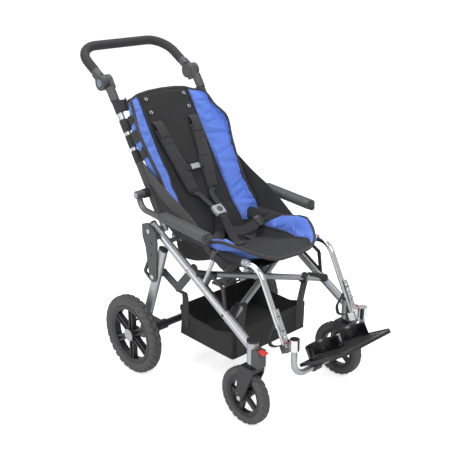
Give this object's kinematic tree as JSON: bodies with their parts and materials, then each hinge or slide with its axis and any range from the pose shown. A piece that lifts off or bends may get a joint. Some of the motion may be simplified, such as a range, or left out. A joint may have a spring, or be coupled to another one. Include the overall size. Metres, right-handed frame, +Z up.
{
  "type": "special needs buggy",
  "caption": "Folding special needs buggy: padded sling seat with winged back and harness on a silver tube frame, swivelling front wheels, flip-up armrests, footrest and basket.",
  "frame": {"origin": "bottom centre of the bounding box, on the floor midway between the footplate and the push handle", "axes": "+Z up, the rider looks along -Y, +X to the rider's left, +Y towards the push handle"},
  "size_m": [0.61, 1.1946, 1.0829],
  "materials": {
    "silver_tube": "satin silver",
    "chrome_tube": "bright chrome",
    "steel_bolt": "zinc plated",
    "dark_plastic": "dark grey, grained",
    "black_plastic": "black, grained",
    "black_metal": "black powder coat",
    "tyre_rubber": "dark grey tyre",
    "foam": "closed-cell foam",
    "blue_cloth": "padded blue cloth",
    "grey_cloth": "charcoal cloth",
    "webbing": "black webbing",
    "red_plastic": "red",
    "button_plastic": "pale blue-grey",
    "heel_strap": "glossy black strap"
  },
  "bodies": {
    "chassis": {"front_leg_left": "silver_tube", "front_leg_right": "silver_tube", "swivel_housing_left": "dark_plastic", "swivel_housing_right": "dark_plastic", "tube_caps": "black_plastic", "cross_brace": "silver_tube", "cross_brace_ends": "black_plastic", "seat_rails": "silver_tube", "seat_rail_brackets": "silver_tube", "leg_stays": "dark_plastic", "fold_plates": "dark_plastic", "front_tie_loops": "black_metal", "seat_cover": "blue_cloth", "side_panels": "grey_cloth", "basket": "grey_cloth", "basket_straps": "webbing", "footrest_hangers": "chrome_tube", "frame_bolts": "steel_bolt", "lap_harness": "webbing", "harness_buckle": "dark_plastic"},
    "rear_legs": {"rear_leg_left": "silver_tube", "rear_leg_right": "silver_tube", "rear_axle": "black_metal", "rear_leg_fittings": "black_metal"},
    "rear_wheel_left": {"rear_tyre_left": "tyre_rubber", "rear_rim_left": "black_plastic"},
    "rear_wheel_right": {"rear_tyre_right": "tyre_rubber", "rear_rim_right": "black_plastic"},
    "brake_left": {"brake_pedal_left": "black_plastic"},
    "brake_right": {"brake_pedal_right": "black_plastic"},
    "caster_left": {"caster_fork_left": "black_plastic", "front_axle_left": "steel_bolt"},
    "caster_right": {"caster_fork_right": "black_plastic", "front_axle_right": "steel_bolt"},
    "front_wheel_left": {"front_tyre_left": "tyre_rubber", "front_rim_left": "black_plastic"},
    "front_wheel_right": {"front_tyre_right": "tyre_rubber", "front_rim_right": "black_plastic"},
    "swivel_lock_left": {"caster_lock_left": "red_plastic"},
    "swivel_lock_right": {"caster_lock_right": "red_plastic"},
    "back": {"back_tube_left": "silver_tube", "back_tube_right": "silver_tube", "back_cover": "blue_cloth", "back_lacing": "webbing", "handle_joints": "dark_plastic", "shoulder_harness": "webbing"},
    "handle": {"push_handle": "dark_plastic", "handle_grip": "foam"},
    "button_left": {"handle_button_left": "button_plastic"},
    "button_right": {"handle_button_right": "button_plastic"},
    "arm_knuckle_left": {"armrest_knuckle_left": "black_plastic"},
    "arm_knuckle_right": {"armrest_knuckle_right": "black_plastic"},
    "arm_left": {"armrest_left": "silver_tube", "armrest_pad_left": "dark_plastic"},
    "arm_right": {"armrest_right": "silver_tube", "armrest_pad_right": "dark_plastic"},
    "footrest": {"footrest_slides": "chrome_tube", "foot_tube": "silver_tube"},
    "foot_plate": {"footplate": "black_plastic", "heel_straps": "heel_strap"}
  },
  "joints": [
    {"name": "leg_fold", "type": "hinge", "parent": "chassis", "child": "rear_legs", "pos_m": [0, 0.10861, 0.372], "axis": [-1, 0, 0], "range_deg": [0, 60], "deforming": ["basket", "basket_straps"]},
    {"name": "rear_wheel_left_spin", "type": "hinge", "parent": "rear_legs", "child": "rear_wheel_left", "pos_m": [0.283, 0.19361, 0.14], "axis": [1, 0, 0], "continuous": true},
    {"name": "brake_left_press", "type": "hinge", "parent": "rear_legs", "child": "brake_left", "pos_m": [0.195, 0.14761, 0.16], "axis": [1, 0, 0], "range_deg": [0, 20]},
    {"name": "caster_left_swivel", "type": "hinge", "parent": "chassis", "child": "caster_left", "pos_m": [0.222, -0.33339, 0.222], "axis": [0, 0, 1], "continuous": true},
    {"name": "front_wheel_left_spin", "type": "hinge", "parent": "caster_left", "child": "front_wheel_left", "pos_m": [0.222, -0.30339, 0.095], "axis": [1, 0, 0], "continuous": true},
    {"name": "swivel_lock_left_lift", "type": "hinge", "parent": "chassis", "child": "swivel_lock_left", "pos_m": [0.222, -0.36339, 0.26888], "axis": [-1, 0, 0], "range_deg": [0, 25]},
    {"name": "rear_wheel_right_spin", "type": "hinge", "parent": "rear_legs", "child": "rear_wheel_right", "pos_m": [-0.283, 0.19361, 0.14], "axis": [1, 0, 0], "continuous": true},
    {"name": "brake_right_press", "type": "hinge", "parent": "rear_legs", "child": "brake_right", "pos_m": [-0.195, 0.14761, 0.16], "axis": [1, 0, 0], "range_deg": [0, 20]},
    {"name": "caster_right_swivel", "type": "hinge", "parent": "chassis", "child": "caster_right", "pos_m": [-0.222, -0.33339, 0.222], "axis": [0, 0, 1], "continuous": true},
    {"name": "front_wheel_right_spin", "type": "hinge", "parent": "caster_right", "child": "front_wheel_right", "pos_m": [-0.222, -0.30339, 0.095], "axis": [1, 0, 0], "continuous": true},
    {"name": "swivel_lock_right_lift", "type": "hinge", "parent": "chassis", "child": "swivel_lock_right", "pos_m": [-0.222, -0.36339, 0.26888], "axis": [-1, 0, 0], "range_deg": [0, 25]},
    {"name": "back_fold", "type": "hinge", "parent": "chassis", "child": "back", "pos_m": [0, 0.12061, 0.53], "axis": [1, 0, 0], "range_deg": [0, 75], "deforming": ["side_panels", "shoulder_harness", "lap_harness", "harness_buckle"]},
    {"name": "handle_tilt", "type": "hinge", "parent": "back", "child": "handle", "pos_m": [0, 0.42141, 0.96679], "axis": [1, 0, 0], "range_deg": [-60, 60]},
    {"name": "handle_button_left_press", "type": "slide", "parent": "handle", "child": "button_left", "axis": [-1, 0, 0], "range_m": [0, 0.003], "stiffness_N_per_m": 800},
    {"name": "armrest_left_level", "type": "hinge", "parent": "back", "child": "arm_knuckle_left", "pos_m": [0.211, 0.18777, 0.63542], "axis": [1, 0, 0], "range_deg": [-75, 0]},
    {"name": "armrest_left_flip", "type": "hinge", "parent": "arm_knuckle_left", "child": "arm_left", "pos_m": [0.235, 0.18777, 0.63542], "axis": [-1, 0, 0], "range_deg": [0, 95]},
    {"name": "handle_button_right_press", "type": "slide", "parent": "handle", "child": "button_right", "axis": [1, 0, 0], "range_m": [0, 0.003], "stiffness_N_per_m": 800},
    {"name": "armrest_right_level", "type": "hinge", "parent": "back", "child": "arm_knuckle_right", "pos_m": [-0.211, 0.18777, 0.63542], "axis": [1, 0, 0], "range_deg": [-75, 0]},
    {"name": "armrest_right_flip", "type": "hinge", "parent": "arm_knuckle_right", "child": "arm_right", "pos_m": [-0.235, 0.18777, 0.63542], "axis": [-1, 0, 0], "range_deg": [0, 95]},
    {"name": "footrest_length", "type": "slide", "parent": "chassis", "child": "footrest", "axis": [0, 0.4617, 0.887], "range_m": [0, 0.045]},
    {"name": "footplate_flip", "type": "hinge", "parent": "footrest", "child": "foot_plate", "pos_m": [0, -0.44539, 0.195], "axis": [-1, 0, 0], "range_deg": [0, 55]}
  ],
  "couplings": [
    {"joint": "armrest_left_level", "follows": "back_fold", "ratio": -1},
    {"joint": "armrest_right_level", "follows": "back_fold", "ratio": -1}
  ]
}
